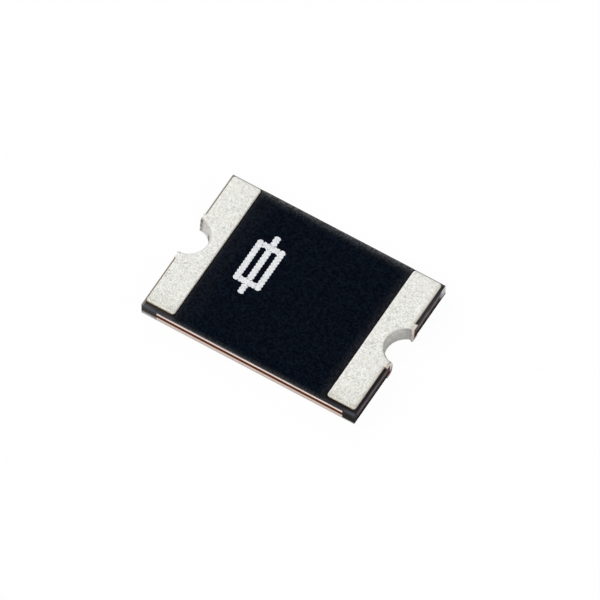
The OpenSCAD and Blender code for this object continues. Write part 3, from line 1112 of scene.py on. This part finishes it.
class FUSE_OT_mark(bpy.types.Operator):
    """Print the plain ink mark on the upper solder mask"""

    bl_idname = "fuse.mark"
    bl_label = "Print Ink Mark"

    def execute(self, context):
        mask_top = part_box("upper_solder_mask")[1].z
        place("ink_mark", mark_mesh(mask_top, settings().mask), white_marking_ink(), "marking_ink")
        return {"FINISHED"}


class FUSE_OT_stage(bpy.types.Operator):
    """Set up the floor, the light and the camera"""

    bl_idname = "fuse.stage"
    bl_label = "Set Up Stage"

    # Name, direction from the chip, distance, width and height of the lamp, and its light on a face
    # that is turned to it
    LAMPS = (
        ("left_softbox", (-0.7, -0.1, 0.7), 0.32, 0.3, 0.26, 0.53),
        ("top_softbox", (0.2, -0.45, 0.87), 0.36, 0.24, 0.24, 0.62),
        ("right_fill", (0.8, 0.1, 0.6), 0.34, 0.2, 0.2, 0.14),
        ("front_fill", (0.15, -0.85, 0.55), 0.34, 0.3, 0.2, 0.06),
        ("back_strip", (-0.416, 0.705, 0.574), 0.32, 0.34, 0.17, 0.27),
    )

    def floor(self):
        """A square floor that the chip lies on."""
        side = settings().stage.floor_size / 2
        corners = [(-side, -side, 0), (side, -side, 0), (side, side, 0), (-side, side, 0)]
        mesh = bpy.data.meshes.new("floor")
        mesh.from_pydata(corners, [], [(0, 1, 2, 3)])
        mesh.materials.append(white_sweep())
        floor = bpy.data.objects.new("floor", mesh)
        bpy.context.scene.collection.objects.link(floor)

    def lamp(self, name, direction, distance, width, height, light):
        """A rectangular lamp aimed at the chip. Its power gives the stated light at the chip."""
        data = bpy.data.lights.new(name, "AREA")
        data.shape = "RECTANGLE"
        data.size, data.size_y = width, height
        data.energy = light * math.pi ** 2 * distance ** 2
        lamp = bpy.data.objects.new(name, data)
        aim = Vector(direction).normalized()
        lamp.location = aim * distance
        lamp.rotation_mode = "QUATERNION"
        lamp.rotation_quaternion = (-aim).to_track_quat("-Z", "Y")
        bpy.context.scene.collection.objects.link(lamp)

    def surroundings(self):
        """World that is white at eye level and dim overhead, so that the mask stays dark from above."""
        stage = settings().stage
        world = bpy.data.worlds.new("studio")
        world.use_nodes = True
        tree = world.node_tree
        tree.nodes.clear()
        ray = add(tree, "TexCoord", output="Generated")
        rise = add(tree, "SeparateXYZ", {"Vector": ray}, "Z")
        tone = layered(tree, rgba(stage.horizon), (zone(tree, (rise, 0.03, 0.3)), rgba(stage.zenith)))
        light = add(tree, "Background", {"Color": tone, "Strength": 1.0}, "Background")
        add(tree, "OutputWorld", {"Surface": light})
        bpy.context.scene.world = world

    def camera(self):
        """A long lens at the picture's angle, aimed beside the middle of the laminate's base."""
        stage = settings().stage
        back = Vector((
            math.sin(stage.azimuth) * math.cos(stage.elevation),
            -math.cos(stage.azimuth) * math.cos(stage.elevation),
            math.sin(stage.elevation),
        ))
        level = Vector((0, 0, 1)).cross(back).normalized()
        turn = Matrix.Rotation(stage.roll, 3, back)
        right = turn @ level
        up = back.cross(right)
        data = bpy.data.cameras.new("camera")
        data.sensor_width = 36.0
        data.lens = data.sensor_width * stage.distance / stage.view_width
        data.clip_start = stage.distance / 10
        data.clip_end = stage.distance * 10
        camera = bpy.data.objects.new("camera", data)
        aim = Vector((0, 0, LAMINATE_BOTTOM)) + stage.aim_right * right + stage.aim_up * up
        axes = Matrix((right, up, back)).transposed()
        camera.matrix_world = Matrix.Translation(aim + stage.distance * back) @ axes.to_4x4()
        bpy.context.scene.collection.objects.link(camera)
        bpy.context.scene.camera = camera

    def execute(self, context):
        self.floor()
        for lamp in self.LAMPS:
            self.lamp(*lamp)
        self.surroundings()
        self.camera()
        context.scene.view_settings.view_transform = "Standard"
        return {"FINISHED"}


class FUSE_PT_panel(bpy.types.Panel):
    """Lists the steps that dress the chip, and their settings"""

    bl_idname = "FUSE_PT_panel"
    bl_label = "Resettable Fuse Chip"
    bl_space_type = "VIEW_3D"
    bl_region_type = "UI"
    bl_category = "Fuse"

    def draw(self, context):
        for step in OPERATORS:
            self.layout.operator(step.bl_idname)
        chip = context.scene.fuse_chip
        for group in (chip.laminate, chip.terminals, chip.mask, chip.stage):
            box = self.layout.box()
            for key in group.__annotations__:
                box.prop(group, key)


OPERATORS = (FUSE_OT_laminate, FUSE_OT_terminals, FUSE_OT_masks, FUSE_OT_mark, FUSE_OT_stage)
CLASSES = (
    FuseTerminalSettings,
    FuseMaskSettings,
    FuseLaminateSettings,
    FuseStageSettings,
    FuseChipSettings,
    *OPERATORS,
    FUSE_PT_panel,
)


def register():
    """Registers the classes and hangs the chip's settings on the scene."""
    for cls in CLASSES:
        bpy.utils.register_class(cls)
    bpy.types.Scene.fuse_chip = PointerProperty(type=FuseChipSettings)


def unregister():
    """Takes the settings and the classes away again."""
    del bpy.types.Scene.fuse_chip
    for cls in reversed(CLASSES):
        bpy.utils.unregister_class(cls)


def main():
    """Dresses the chip step by step."""
    register()
    bpy.ops.fuse.laminate()
    bpy.ops.fuse.terminals()
    bpy.ops.fuse.masks()
    bpy.ops.fuse.mark()
    bpy.ops.fuse.stage()


if __name__ == "__main__":
    main()
